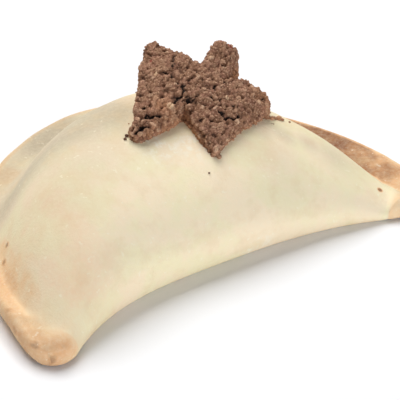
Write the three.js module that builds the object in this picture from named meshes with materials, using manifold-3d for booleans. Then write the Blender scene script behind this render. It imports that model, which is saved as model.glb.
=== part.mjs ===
// Sweet turnover: a half-moon of pale sweet dough folded over a dark chocolate and almond
// filling, with a star-shaped cut in its crown that the filling has swelled out of.
//
// Millimetres, +Z up. +X runs from the left horn to the right one, -Y is the folded front,
// +Y the sealed rim. The plan is drawn with the middle of the fold at (0, 0), and the whole is
// then centred over the origin, resting on its flat base at z = 0.

import * as THREE from 'three';
import { mergeVertices } from 'three/addons/utils/BufferGeometryUtils.js';
import Module from 'manifold-3d';

// ---------------------------------------------------------------- driving dimensions

// Folded front edge: a line that bends forward into the two horns. At even 0 the sections
// crowd together towards the horn, at 1 they are evenly spaced along the fold.
const FOLD = {
  left: { reach: 40.2, sweep: 9.3, power: 3.1, even: 0.5 },
  right: { reach: 45, sweep: 5, power: 3, even: 0 },
};

// Sealed rim: an oval arc round the back, from horn to horn.
const RIM_OVAL = { x: 4.5, y: -1.6, halfLength: 55, halfDepth: 69.3 };
const RIM_THICKNESS = { left: 4.4, middle: 2.8, right: 2.8 }; // two layers of dough
const RIM_WIDTH = { left: 5, middle: 6.2, right: 14.2 };
const RIM_WIDTH_MOST = { left: 0.28, right: 0.58 }; // of the local depth, at the horns
const RIM_TOP = { left: 7, middle: 6.6, right: 4 }; // height of its upper face
const RIM_TOP_MOST = { left: 0.93, right: 0.84 }; // of the height of the pressed horns
const RIM_EDGE_ROUND = { left: 2, middle: 0.8, right: 0.8 };
const RIM_EDGE_MOST = 0.15; // of the local depth
const RIM_BLEND = { top: 0.6, width: 0.8 }; // share of the way to a horn where it is reached
const HORN_LIFT = { left: 0.3, right: 0.4, from: 0.72 }; // horns curl off the base a little

// Belly of the pastry.
const CROWN_HEIGHT = 26.2;
const BELLY = { // how the crown falls towards each horn, and where the filled belly ends
  left: { horn: 6.5, power: 4, fall: 1.5, end: 1 },
  right: { horn: 4.4, power: 2, fall: 1.7, end: 0.9 },
};
const CREST = { left: 0.36, middle: 0.5, right: 0.28 }; // of the depth, behind the fold
const CREST_SPREAD = { left: 0.7, right: 1.1 };
const CREST_MOST = 0.8; // of the way to the rim's crease
const BACK_FULLNESS = { left: 0.5, middle: 0.55, right: 0.5 }; // 0.5 is round, 1 a soft slope
const BACK_SOFTNESS = { left: 1, middle: 0.4, right: 0 }; // 1 runs out softly on the rim
const BACK_BLEND = 0.6;
const FOREMOST = 0.27; // height of the fold's foremost line, of the local height
const FRONT_TUCK = 0.035; // how far the base starts behind it, of the local depth
const UNDERSIDE = { ease: 9, least: 0.62 }; // length over which the base lifts to the rim
const RIPPLE = 0.28; // uneven, hand-pressed skin

// Horn tips are rounded from the fold to the rim.
const TIP_STEPS = 6;
const TIP_FULLNESS = 0.5; // 0 is cut straight across, 1 is nearly a corner
const TIP_HEIGHT = 0.5; // of the horn's height, at the very tip

// Crust and filling.
const CRUST = 3; // wall of dough round the filling
const GAP = 0.3; // clearance between dough and filling
const HOLLOW_REACH = { left: -0.8, right: 0.72 };
const HOLLOW = { corner: 1.6, side: 0.4, low: 1.8, least: 1.2, behindCrest: 2 };
const END_SHORT = 1.3; // the filling's ends stay this many gaps back, as they lie aslant

// Star cut: five arms, each with its direction in degrees, reach and half width at the tip,
// how far its flat tip runs to either side in half widths, and the depth of the notch that
// follows it, counter-clockwise.
const STAR_CENTRE = { x: 10.8, y: 26.6 };
const STAR_ARMS = [
  { angle: -12, reach: 19.2, half: 4.6, tip: [-0.5, 0.5], notchAngle: 10, notch: 11.2 },
  { angle: 31, reach: 21.2, half: 3.2, tip: [-0.5, 0.5], notchAngle: 51, notch: 11.2 },
  { angle: 95, reach: 19.4, half: 6, tip: [-0.5, 0.1], notchAngle: 143, notch: 13 },
  { angle: 193, reach: 20, half: 2.7, tip: [-0.5, 0.5], notchAngle: 222, notch: 9 },
  { angle: 257, reach: 15.8, half: 2.2, tip: [-0.5, 0.5], notchAngle: 308, notch: 12.6 },
];
const ARM_TAPER = 0.9; // length over which an arm narrows to its tip, in half widths
const STAR_INSET = 1.2; // the cut in the dough lies this far inside the lump's outline
const LUMP_INSET = 0.5; // and the lump's bare core this far
const CUT = { bottom: 12, top: 60 }; // heights between which the star is cut

// Face of the lump of filling: a leaning, crowned surface over the star.
const FACE = { height: 31.2, lean: 0.34, crownY: 0.0144, tilt: -0.1, crownX: 0.011 };
const FACE_CRAG = 1.45; // depth of its unevenness
const FACE_STEP = 2.6; // spacing of its points
const FACE_MARGIN = 2.8; // how far it runs past the longest arm before it is cut
const PEAK = { arm: 1, at: 0.85, rise: 3.4, spread: 6.5 }; // the arm that stands up highest

// Crumbly chunks on the lump.
const CHUNKS = { count: 110, tries: 4000, small: 1.1, large: 2.1, spacing: 1.9, seed: 4127 };
const CHUNK_SHAPE = { rough: 0.3, shallow: 0.3, deep: 0.8, edge: 0.9 };
const SIDE_CHUNKS = { step: 2.6, foot: 19, small: 1.2, large: 2.2 }; // down the lump's sides

// Mesh fineness.
const STATIONS = 36;
const BELLY_STATIONS = 18;
const LOW_STEPS = 4;
const FRONT_STEPS = 9;
const BACK_STEPS = 8;
const UNDER_STEPS = 4;
const HOLLOW_FRONT_STEPS = 6;
const HOLLOW_BACK_STEPS = 5;

const DOUGH_COLOUR = 0xe8dbbd;
const FILLING_COLOUR = 0x8d6951;

// ---------------------------------------------------------------- small helpers

const rad = THREE.MathUtils.degToRad;
const sideOf = (t) => (t < 0 ? 'left' : 'right');
const mix = (a, b, k) => a + (b - a) * k;
const ease = (k) => Math.sin((Math.min(k, 1) * Math.PI) / 2) ** 2;

/** Seeded draws from 0 to 1, by the minimal standard generator. */
function makeDraw(seed) {
  let state = seed;
  return () => {
    state = (state * 16807) % 2147483647;
    return state / 2147483647;
  };
}

/** Slow swell and dip of a hand-made surface, from three crossing waves. */
function ripple(x, y) {
  const wave = Math.sin(x * 0.21 + y * 0.13) + Math.sin(y * 0.27 - x * 0.11 + 1.7);
  return (wave + 0.7 * Math.sin((x + y) * 0.39 + 0.6)) / 2.7;
}

// ---------------------------------------------------------------- plan and heights

/** Foot of the fold at t, from -1 at the left horn to 1 at the right. */
function foldPoint(t) {
  const f = FOLD[sideOf(t)];
  const u = mix(Math.sin((Math.abs(t) * Math.PI) / 2), Math.abs(t), f.even);
  return new THREE.Vector2(Math.sign(t) * f.reach * u, -f.sweep * u ** f.power);
}

/** Outer edge of the rim at t. */
function rimPoint(t) {
  const angle = rad(90 - 90 * t);
  return new THREE.Vector2(
    RIM_OVAL.x + RIM_OVAL.halfLength * Math.cos(angle),
    RIM_OVAL.y + RIM_OVAL.halfDepth * Math.sin(angle),
  );
}

/** Everything that a cross-section from the fold to the rim needs. */
function station(t) {
  const side = sideOf(t);
  const a = Math.abs(t);
  const belly = BELLY[side];
  const fall = (1 - Math.min(a / belly.end, 1) ** belly.power) ** belly.fall;
  const towards = (size, blend) => mix(size.middle, size[side], ease(a / blend));
  return {
    fold: foldPoint(t),
    rim: rimPoint(t),
    height: mix(belly.horn, CROWN_HEIGHT, fall),
    crest: towards(CREST, CREST_SPREAD[side]),
    rimTop: towards(RIM_TOP, RIM_BLEND.top),
    rimWidth: towards(RIM_WIDTH, RIM_BLEND.width),
    rimThickness: towards(RIM_THICKNESS, RIM_BLEND.width),
    edgeRound: towards(RIM_EDGE_ROUND, RIM_BLEND.width),
    rimMost: RIM_WIDTH_MOST[side],
    rimTopMost: RIM_TOP_MOST[side],
    fullness: towards(BACK_FULLNESS, BACK_BLEND),
    softness: towards(BACK_SOFTNESS, BACK_BLEND),
    lift: HORN_LIFT[side] * ease(Math.max(a - HORN_LIFT.from, 0) / (1 - HORN_LIFT.from)),
  };
}

/** Cross-sections that round a horn's tip, from its last full section outwards. */
function tipStations(side) {
  const end = side === 'left' ? -1 : 1;
  const last = station(end);
  const inner = station(end * 0.97);
  const foldWay = last.fold.clone().sub(inner.fold).normalize();
  const rimWay = last.rim.clone().sub(inner.rim).normalize();
  const span = last.rim.clone().sub(last.fold);
  const ahead = span.cross(rimWay) / foldWay.cross(rimWay);
  const corner = last.fold.clone().addScaledVector(foldWay, ahead);
  const onCurve = (k) => {
    const weights = [(1 - k) ** 2, 2 * TIP_FULLNESS * k * (1 - k), k ** 2];
    const sum = weights[0] + weights[1] + weights[2];
    return last.fold.clone().multiplyScalar(weights[0] / sum)
      .addScaledVector(corner, weights[1] / sum).addScaledVector(last.rim, weights[2] / sum);
  };
  const sections = [];
  for (let i = 1; i <= TIP_STEPS; i += 1) {
    const spread = Math.max(Math.cos(((i / TIP_STEPS) * Math.PI) / 2), 0.05);
    sections.push({
      ...last,
      fold: onCurve(0.5 - spread / 2),
      rim: onCurve(0.5 + spread / 2),
      height: last.height * mix(TIP_HEIGHT, 1, spread ** 0.6),
    });
  }
  return sections;
}

// ---------------------------------------------------------------- cross-sections

/** Sizes of a cross-section, in millimetres from the fold's foremost line. */
function sizes(s) {
  const depth = s.fold.distanceTo(s.rim);
  const rimWidth = Math.min(s.rimWidth, s.rimMost * depth);
  const crease = depth - rimWidth;
  const rimTop = Math.min(s.rimTop, s.rimTopMost * s.height);
  return {
    depth,
    crease,
    rimTop,
    crest: Math.min(s.crest * depth, CREST_MOST * crease),
    height: s.height,
    fullness: s.fullness,
    softness: s.softness,
    foremost: FOREMOST * s.height,
    rimUnder: Math.max(0, rimTop - s.rimThickness),
    baseBack: Math.max(UNDERSIDE.least * crease, crease - UNDERSIDE.ease),
    round: Math.min(s.edgeRound, RIM_EDGE_MOST * depth),
  };
}

/** Height of the belly behind its crest, at k from 0 at the crest to 1 at the rim's crease. */
function backHeight(z, k) {
  const power = mix(z.fullness, 1, z.softness * k ** 3);
  return mix(z.rimTop, z.height, ((1 + Math.cos(k * Math.PI)) / 2) ** power);
}

/** Outline of the whole pastry's section, grown by a clearance, as [from fold, height]. */
function outerLoop(s, grow = 0) {
  const z = sizes(s);
  const loop = [];
  for (let i = 0; i <= LOW_STEPS; i += 1) {
    const k = ((i / LOW_STEPS) * Math.PI) / 2;
    loop.push([FRONT_TUCK * z.depth * (1 - Math.sin(k)) - grow * Math.sin(k),
      z.foremost * (1 - Math.cos(k)) - grow * Math.cos(k)]);
  }
  for (let i = 1; i <= FRONT_STEPS; i += 1) {
    const k = ((i / FRONT_STEPS) * Math.PI) / 2;
    loop.push([mix(z.crest, -grow, Math.cos(k)),
      mix(z.foremost, z.height + grow, Math.sin(k))]);
  }
  for (let i = 1; i <= BACK_STEPS; i += 1) {
    const k = i / BACK_STEPS;
    loop.push([mix(z.crest, z.crease + grow, k), backHeight(z, k) + grow]);
  }
  const upper = z.rimTop + grow;
  const lower = z.rimUnder - grow;
  const edge = z.depth + grow;
  const round = Math.min(z.round, (upper - lower) / 2.5);
  loop.push([edge - round, upper], [edge, upper - round]);
  loop.push([edge, lower + round], [edge - round, lower]);
  for (let i = 0; i <= UNDER_STEPS; i += 1) {
    const k = 1 - i / UNDER_STEPS;
    loop.push([mix(z.baseBack, z.crease, k), z.rimUnder * ease(k) - grow]);
  }
  return loop;
}

/** Outline of the hollow inside the crust, drawn in by an inset, as [from fold, height]. */
function hollowLoop(s, inset) {
  const z = sizes(s);
  const wall = CRUST + inset;
  const thinnest = CRUST + HOLLOW.least - inset;
  const low = Math.max(z.foremost, CRUST + HOLLOW.low);
  const loop = [[wall + HOLLOW.corner, wall], [wall + HOLLOW.side, mix(wall, low, 0.5)]];
  for (let i = 0; i <= HOLLOW_FRONT_STEPS; i += 1) {
    const k = ((i / HOLLOW_FRONT_STEPS) * Math.PI) / 2;
    loop.push([mix(z.crest, wall, Math.cos(k)), mix(low, z.height - wall, Math.sin(k))]);
  }
  const back = Math.max(z.baseBack, z.crest + HOLLOW.behindCrest);
  const end = Math.min(back, z.crease - CRUST) - inset;
  const reach = z.crease - z.crest;
  for (let i = 1; i <= HOLLOW_BACK_STEPS; i += 1) {
    const from = mix(z.crest, end, i / HOLLOW_BACK_STEPS);
    const k = (from - z.crest) / reach;
    const [above, below] = [backHeight(z, k - 0.02), backHeight(z, Math.min(k + 0.02, 1))];
    const slope = (above - below) / (0.04 * reach);
    loop.push([from, Math.max(backHeight(z, k) - wall * Math.hypot(1, slope), thinnest)]);
  }
  loop.push([end, wall]);
  return loop;
}

/** Places a section's outline in space. */
function placeLoop(s, loop, skin = 0) {
  const along = s.rim.clone().sub(s.fold).normalize();
  return loop.map(([from, up]) => {
    const p = s.fold.clone().addScaledVector(along, from);
    const lift = up > 0.5 ? skin * ripple(p.x, p.y) * Math.min(1, up / 6) : 0;
    return new THREE.Vector3(p.x, p.y, up + lift + s.lift);
  });
}

// ---------------------------------------------------------------- closed meshes

/** Closed surface through a row of loops of the same length, with both ends filled in. */
function loft(loops) {
  const count = loops[0].length;
  const points = loops.flat();
  const faces = [];
  for (let i = 0; i + 1 < loops.length; i += 1) {
    for (let j = 0; j < count; j += 1) {
      const k = (j + 1) % count;
      const [a, b, c, d] = [i * count + j, i * count + k, (i + 1) * count + k, (i + 1) * count + j];
      faces.push(a, b, c, a, c, d);
    }
  }
  [0, loops.length - 1].forEach((row) => {
    const middle = loops[row].reduce((sum, p) => sum.add(p), new THREE.Vector3());
    points.push(middle.divideScalar(count));
    for (let j = 0; j < count; j += 1) {
      const [a, b] = [row * count + j, row * count + ((j + 1) % count)];
      faces.push(...(row === 0 ? [b, a] : [a, b]), points.length - 1);
    }
  });
  const geometry = new THREE.BufferGeometry().setFromPoints(points);
  geometry.setIndex(faces);
  return geometry;
}

/** Uneven block, square in plan, whose top follows a height function. */
function terrain(centre, reach, topAt) {
  const steps = Math.round((2 * reach) / FACE_STEP);
  const floor = CUT.bottom - FACE_STEP;
  const loops = [];
  for (let i = 0; i <= steps; i += 1) {
    const x = centre.x + reach * mix(-1, 1, i / steps);
    const loop = [1, -1].map((end) => new THREE.Vector3(x, centre.y + reach * end, floor));
    for (let j = 0; j <= steps; j += 1) {
      const y = centre.y + reach * mix(-1, 1, j / steps);
      loop.push(new THREE.Vector3(x, y, topAt(x, y)));
    }
    loops.push(loop);
  }
  return loft(loops);
}

const wasm = await Module();
wasm.setup();

/** Turns a closed three.js mesh into a solid that can be joined and cut. */
function solid(geometry) {
  const bare = geometry.clone();
  bare.deleteAttribute('normal');
  bare.deleteAttribute('uv');
  const merged = mergeVertices(bare, 1e-4);
  const make = (triVerts) => new wasm.Manifold(new wasm.Mesh({
    numProp: 3,
    vertProperties: Float32Array.from(merged.attributes.position.array),
    triVerts,
  }));
  const faces = Uint32Array.from(merged.index.array);
  const made = make(faces);
  return made.volume() > 0 ? made : make(faces.reverse());
}

/** Largest connected body of a solid; what a cut leaves loose is dropped. */
function mainBody(made) {
  return made.decompose().reduce((a, b) => (a.volume() > b.volume() ? a : b));
}

function geometryOf(made) {
  const mesh = made.getMesh();
  const geometry = new THREE.BufferGeometry();
  geometry.setAttribute('position', new THREE.Float32BufferAttribute(mesh.vertProperties, 3));
  geometry.setIndex(Array.from(mesh.triVerts));
  return geometry;
}

// ---------------------------------------------------------------- dough

const sections = [];
for (let i = 0; i <= STATIONS; i += 1) sections.push(station(-1 + (2 * i) / STATIONS));
const pastrySections = [
  ...tipStations('left').reverse(),
  ...sections,
  ...tipStations('right'),
];

const pastry = (grow, skin) => solid(
  loft(pastrySections.map((s) => placeLoop(s, outerLoop(s, grow), skin))),
);

/** Hollow inside the crust, drawn in all round by an inset. */
function hollow(inset) {
  const loops = [];
  for (let i = 0; i <= BELLY_STATIONS; i += 1) {
    const s = station(mix(HOLLOW_REACH.left, HOLLOW_REACH.right, i / BELLY_STATIONS));
    loops.push(placeLoop(s, hollowLoop(s, inset), RIPPLE));
  }
  [[0, 1], [BELLY_STATIONS, BELLY_STATIONS - 1]].forEach(([end, next]) => {
    const apart = loops[end][0].distanceTo(loops[next][0]);
    loops[end] = loops[end].map((p, j) => p.clone().lerp(loops[next][j], (END_SHORT * inset) / apart));
  });
  return solid(loft(loops));
}

// ---------------------------------------------------------------- star and filling

const STAR_REACH = Math.max(...STAR_ARMS.map((arm) => arm.reach));

/** Star outline drawn in from the lump's own edge by an inset. */
function starShape(inset) {
  const shape = new THREE.Shape();
  const { x, y } = STAR_CENTRE;
  const corners = STAR_ARMS.flatMap((arm) => {
    const way = new THREE.Vector2(Math.cos(rad(arm.angle)), Math.sin(rad(arm.angle)));
    const side = new THREE.Vector2(-way.y, way.x);
    const at = (back, out) => way.clone().multiplyScalar(arm.reach - back * arm.half)
      .addScaledVector(side, out * arm.half);
    const notch = rad(arm.notchAngle);
    return [
      at(ARM_TAPER, -1), at(0, arm.tip[0]), at(0, arm.tip[1]), at(ARM_TAPER, 1),
      new THREE.Vector2(Math.cos(notch), Math.sin(notch)).multiplyScalar(arm.notch),
    ];
  });
  const inwards = corners.map((c, i) => {
    const along = corners[(i + 1) % corners.length].clone().sub(c).normalize();
    return new THREE.Vector2(-along.y, along.x);
  });
  corners.forEach((c, i) => {
    const [a, b] = [inwards[(i + corners.length - 1) % corners.length], inwards[i]];
    const drawnIn = a.clone().add(b).multiplyScalar(inset / (1 + a.dot(b))).add(c);
    shape[i ? 'lineTo' : 'moveTo'](x + drawnIn.x, y + drawnIn.y);
  });
  shape.closePath();
  return shape;
}

/** Upright star prism over the heights of the cut. */
function starPrism(inset) {
  const block = new THREE.ExtrudeGeometry(starShape(inset), {
    depth: CUT.top - CUT.bottom,
    bevelEnabled: false,
  });
  return solid(block.translate(0, 0, CUT.bottom));
}

/** Height of the lump's face. */
function faceHeight(x, y) {
  const dx = x - STAR_CENTRE.x;
  const dy = y - STAR_CENTRE.y;
  const arm = STAR_ARMS[PEAK.arm];
  const peakX = arm.reach * PEAK.at * Math.cos(rad(arm.angle));
  const peakY = arm.reach * PEAK.at * Math.sin(rad(arm.angle));
  const away = Math.hypot(dx - peakX, dy - peakY) / PEAK.spread;
  return FACE.height + FACE.lean * dy - FACE.crownY * dy * dy
    + FACE.tilt * dx - FACE.crownX * dx * dx + PEAK.rise * Math.exp(-away * away);
}

/** True where a point lies inside an outline. */
function inside(outline, x, y) {
  let hit = false;
  outline.forEach((a, i) => {
    const b = outline[(i + outline.length - 1) % outline.length];
    const crosses = (a.y > y) !== (b.y > y);
    if (crosses && x < ((b.x - a.x) * (y - a.y)) / (b.y - a.y) + a.x) hit = !hit;
  });
  return hit;
}

/** Rough chunk of filling: a small ball with each corner pushed in or out. */
function chunk(draw, centre, radius) {
  const ball = new THREE.IcosahedronGeometry(radius, 0);
  ball.deleteAttribute('normal');
  ball.deleteAttribute('uv');
  const rough = mergeVertices(ball, 1e-4);
  const spots = rough.attributes.position;
  for (let i = 0; i < spots.count; i += 1) {
    const push = 1 + CHUNK_SHAPE.rough * (2 * draw() - 1);
    spots.setXYZ(i, spots.getX(i) * push, spots.getY(i) * push, spots.getZ(i) * push);
  }
  return rough.translate(centre.x, centre.y, centre.z);
}

/** Chunk centres, scattered over the star with a least spacing. */
function chunkSpots(draw) {
  const outline = starShape(CHUNK_SHAPE.edge).getPoints(1);
  const spots = [];
  for (let tries = 0; tries < CHUNKS.tries && spots.length < CHUNKS.count; tries += 1) {
    const x = STAR_CENTRE.x + STAR_REACH * (2 * draw() - 1);
    const y = STAR_CENTRE.y + STAR_REACH * (2 * draw() - 1);
    const clear = spots.every((p) => Math.hypot(p.x - x, p.y - y) > CHUNKS.spacing);
    if (clear && inside(outline, x, y)) {
      const radius = mix(CHUNKS.small, CHUNKS.large, draw() ** 2);
      const sunk = radius * mix(CHUNK_SHAPE.shallow, CHUNK_SHAPE.deep, draw());
      spots.push({ x, y, z: faceHeight(x, y) - sunk, radius });
    }
  }
  return spots;
}

/** Chunk centres along the lump's edge, at uneven heights between its foot and its face. */
function sideSpots(draw) {
  const outline = starShape(CHUNK_SHAPE.edge);
  const count = Math.round(outline.getLength() / SIDE_CHUNKS.step);
  return outline.getSpacedPoints(count).map(({ x, y }) => ({
    x,
    y,
    z: mix(SIDE_CHUNKS.foot, faceHeight(x, y) - 1, draw()),
    radius: mix(SIDE_CHUNKS.small, SIDE_CHUNKS.large, draw()),
  }));
}

function makeFilling() {
  const draw = makeDraw(CHUNKS.seed);
  const block = solid(terrain(
    STAR_CENTRE,
    STAR_REACH + FACE_MARGIN,
    (x, y) => faceHeight(x, y) - FACE_CRAG * draw(),
  ));
  let lump = block.intersect(starPrism(LUMP_INSET));
  [...chunkSpots(draw), ...sideSpots(draw)].forEach((p) => {
    lump = lump.add(solid(chunk(draw, p, p.radius)));
  });
  const proud = lump.subtract(pastry(GAP, RIPPLE));
  const plug = block.intersect(starPrism(STAR_INSET + GAP));
  return mainBody(hollow(GAP).add(plug).add(proud));
}

function makeDough() {
  return mainBody(pastry(0, RIPPLE).subtract(hollow(0)).subtract(starPrism(STAR_INSET)));
}

// ---------------------------------------------------------------- scene graph

const dough = new THREE.Mesh(geometryOf(makeDough()), new THREE.MeshStandardMaterial({
  color: DOUGH_COLOUR,
  roughness: 0.85,
  metalness: 0,
}));
dough.name = 'dough';

const filling = new THREE.Mesh(geometryOf(makeFilling()), new THREE.MeshStandardMaterial({
  color: FILLING_COLOUR,
  roughness: 0.8,
  metalness: 0,
}));
filling.name = 'filling';

const group = new THREE.Group();
group.add(dough, filling);

// Centre the whole over the origin.
const box = new THREE.Box3().setFromObject(group);
const middle = box.getCenter(new THREE.Vector3());
dough.geometry.translate(-middle.x, -middle.y, -box.min.z);
filling.geometry.translate(-middle.x, -middle.y, -box.min.z);

export default group;
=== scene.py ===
# Sweet turnover: a half-moon of pale sweet dough over a dark chocolate and almond filling,
# which has swelled out of a star cut in its crown as a rough, crumbly lump.
#
# The dough and the star repeat the driving dimensions of the solids, in millimetres on a plan
# with the middle of the fold at (0, 0); set_down() brings a mesh to the frame, in metres.
# Only the star's notch between its left and its front arm is deeper here, as the photo has it.

import math

import bmesh
import bpy
import numpy as np
from mathutils import Matrix, Vector, noise


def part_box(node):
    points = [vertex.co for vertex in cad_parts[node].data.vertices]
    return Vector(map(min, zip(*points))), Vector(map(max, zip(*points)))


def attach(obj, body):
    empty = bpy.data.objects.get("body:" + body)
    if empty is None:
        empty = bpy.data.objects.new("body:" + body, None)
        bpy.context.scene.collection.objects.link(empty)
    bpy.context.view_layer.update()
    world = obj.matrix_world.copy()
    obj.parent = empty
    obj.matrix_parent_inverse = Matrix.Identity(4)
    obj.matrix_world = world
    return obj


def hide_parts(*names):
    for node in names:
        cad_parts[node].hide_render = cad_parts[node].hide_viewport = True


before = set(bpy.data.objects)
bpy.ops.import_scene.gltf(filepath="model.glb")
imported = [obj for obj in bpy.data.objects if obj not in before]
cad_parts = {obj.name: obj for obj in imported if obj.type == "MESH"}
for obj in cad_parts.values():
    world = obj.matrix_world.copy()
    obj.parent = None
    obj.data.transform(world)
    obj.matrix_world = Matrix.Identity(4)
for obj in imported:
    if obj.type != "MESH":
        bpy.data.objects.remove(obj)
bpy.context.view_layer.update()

# ---------------------------------------------------------------- driving dimensions, mm

FOLD_REACH = (40.2, 45.0)  # left and right, as in every pair below
FOLD_SWEEP = (9.3, 5.0)
FOLD_POWER = (3.1, 3.0)
FOLD_EVEN = (0.5, 0.0)
RIM_MIDDLE = (4.5, -1.6)
RIM_HALF = (55.0, 69.3)
RIM_THICKNESS = (4.4, 2.8, 2.8)
RIM_WIDTH = (5.0, 6.2, 14.2)  # left, middle and right, as in every triple below
RIM_WIDTH_MOST = (0.28, 0.58)
RIM_TOP = (7.0, 6.6, 4.0)
RIM_TOP_MOST = (0.93, 0.84)
RIM_EDGE_ROUND = (2.0, 0.8, 0.8)
RIM_EDGE_MOST = 0.15
RIM_BLEND_TOP = 0.6
RIM_BLEND_WIDTH = 0.8
HORN_LIFT = (0.3, 0.4)
HORN_LIFT_FROM = 0.72
CROWN_HEIGHT = 26.2
BELLY_HORN = (6.5, 4.4)
BELLY_POWER = (4.0, 2.0)
BELLY_FALL = (1.5, 1.7)
BELLY_END = (1.0, 0.9)
CREST = (0.36, 0.5, 0.28)
CREST_SPREAD = (0.7, 1.1)
CREST_MOST = 0.8
BACK_FULLNESS = (0.5, 0.55, 0.5)
BACK_SOFTNESS = (1.0, 0.4, 0.0)
BACK_BLEND = 0.6
FOREMOST = 0.27
FRONT_TUCK = 0.035
UNDERSIDE_EASE = 9.0
UNDERSIDE_LEAST = 0.62
RIPPLE = 0.28
RIPPLE_FROM = 0.5  # height at which the ripple sets in, and at which it is full
RIPPLE_FULL = 6
TIP_FULLNESS = 0.5
TIP_HEIGHT = 0.5
TIP_FALL = 0.6
TIP_LEAST = 0.05  # width of a horn's last section, in widths of its last full one
TIP_SPACING = 0.01
TIP_BEFORE = 0.97  # the tip's direction is taken from here to the last full section
EDGE_ROUND_MOST = 2.5  # the rim is at least this many edge radii thick

CRUST = 3.0
GAP = 0.3
HOLLOW_REACH = (-0.8, 0.72)
HOLLOW_CORNER = 1.6
HOLLOW_SIDE = 0.4
HOLLOW_LOW = 1.8
HOLLOW_LEAST = 1.2
HOLLOW_BEHIND_CREST = 2.0
END_SHORT = 1.3

STAR_CENTRE = (10.8, 26.6)
STAR_ARMS = (  # direction, reach, half width, ends of the flat tip in half widths, next notch
    (-12, 19.2, 4.6, (-0.5, 0.5), (10, 11.2)),
    (31, 21.2, 3.2, (-0.5, 0.5), (51, 11.2)),
    (95, 19.4, 6.0, (-0.5, 0.1), (143, 13.0)),
    (193, 20.0, 2.7, (-0.5, 0.5), (217, 6.2)),
    (257, 15.8, 2.2, (-0.5, 0.5), (308, 12.6)),
)
ARM_TAPER = 0.9
STAR_INSET = 1.2
CUT_HEIGHTS = (12.0, 60.0)
FACE_HEIGHT = 31.2
FACE_LEAN = (-0.1, 0.34)
FACE_CROWN = (0.011, 0.0144)
PEAK_ARM = 1
PEAK_AT = 0.85
PEAK_RISE = 3.4
PEAK_SPREAD = 6.5
NECK_DEPTH = 4.0  # how far below the lump's face its neck ends, inside the lump

# Places in a cross-section, from 0 at the foot of the fold to 4 under the pastry.
FOREMOST_PLACE = 0.2
RIM_TOP_PLACES = 0.95
UNDER_RIM_PLACE = 3.1
INSIDE_FROM = 3.5  # from here on a point is under the pastry or in its hollow

# ---------------------------------------------------------------- fineness of the meshes

STATIONS = 300
TIP_STEPS = 14
LOW_STEPS = 8
FRONT_STEPS = 56
BACK_STEPS = 60
RIM_STEPS = 12
EDGE_STEPS = 5
UNDER_STEPS = 10
BELLY_STATIONS = 60
HOLLOW_TOP_STEPS = 18
HOLLOW_BACK_STEPS = 15
SLOPE_SPAN = 0.02  # the back's slope is taken over this share of it to both sides
FACE_STEP = 0.8
VOXEL = 0.19
SOFT_EDGE = 8  # rounds of smoothing
CRUMB_LEVEL = 2

MM = 0.001

# ---------------------------------------------------------------- crumb of the lump, mm

FACE_REACH = 24.0
FACE_SWELL = 0.5
FACE_SWELL_SIZE = 4.0
FACE_BUMPS = (  # place from the star's middle, reach and rise
    (12.8, 10.8, 3.2, 1.7),
    (-0.4, 18.6, 3.0, 1.8),
    (-6.4, 16.8, 3.4, -2.4),
)
CORE_INSET = 0.9
SEAT = 0.25  # how far the lump's grains press into the crust

GRAIN_LAYERS = (  # size, depth of the gaps, unevenness, and width of the gaps in sizes
    (2.6, 0.22, 0.42, 0.12),
    (0.95, 0.2, 0.42, 0.28),
    (0.45, 0.11, 0.26, 0.5),
)
MIDDLING = 1  # the layer that gives the grains their browns, and of which some drop out
GRAIN_LIFT = 0.4
GRAIN_SCATTER = 5.3  # spreads the draws of neighbouring grains
LAYER_SHIFT = 11.0  # sets the grains of the layers apart
MISSING = (0.12, 0.45)  # share of the middling grains that have dropped out, and their depth

CREVICES = (  # lines from the star's middle, with their width and depth
    (((2.6, 12.4), (0.5, 9.7), (-2.6, 5.2), (-2.9, 2.1), (-2.6, 0.1)), 0.4, 0.8),
    (((-2.6, 0.1), (-4.8, -1.6), (-7.6, -3.4)), 0.4, 0.9),
    (((-4.6, -2.8), (-2.4, -2.6), (-0.2, -2.4)), 0.35, 0.8),
    (((-18.5, -5.2), (-16.9, -4.6), (-15.6, -5.2)), 0.5, 1.4),
    (((-13.6, -3.0), (-12.3, -3.4), (-11.4, -4.6)), 0.45, 1.2),
    (((2.6, -7.6), (3.0, -9.2), (5.8, -8.9), (9.0, -9.2)), 0.42, 1.3),
)
HOLES = (  # place from the star's middle, width and depth
    (-2.5, 1.1, 0.65, 1.6), (-4.1, 1.3, 0.4, 1.0), (-13.7, -0.3, 0.5, 1.3),
    (-17.0, -3.2, 0.45, 1.2), (-15.0, -3.9, 0.4, 1.1), (-7.5, 6.8, 0.4, 1.0),
    (-8.0, 5.1, 0.35, 0.9), (-9.5, 4.7, 0.35, 0.9), (-3.3, 6.4, 0.4, 1.0),
    (-2.1, 3.4, 0.35, 0.8), (5.1, -1.0, 0.45, 1.2), (8.8, 0.0, 0.45, 1.2),
    (3.7, -5.3, 0.45, 1.2), (6.4, -6.3, 0.35, 1.0), (11.5, -1.8, 0.4, 1.0),
    (16.0, -4.4, 0.45, 1.2), (-1.4, -13.4, 0.4, 1.1),
    (2.3, -3.2, 0.35, 0.9), (12.6, 3.4, 0.4, 0.9), (-0.6, 13.2, 0.4, 1.0),
)
HOLE_LENGTH = 0.01  # a hole is a very short crevice
CRACK_WANDER = 0.9  # how far the lines wander to the sides, and over what length
CRACK_WANDER_SIZE = 1.6
CRACK_SHALLOW = 0.65  # share of its depth that a crack has, how much that varies, and how fast
CRACK_UNEVEN = 0.7
CRACK_UNEVEN_SIZE = 1.2
FACING_UP = (0.1, 0.6)  # cracks fade in between these slopes, from upright to level

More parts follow.
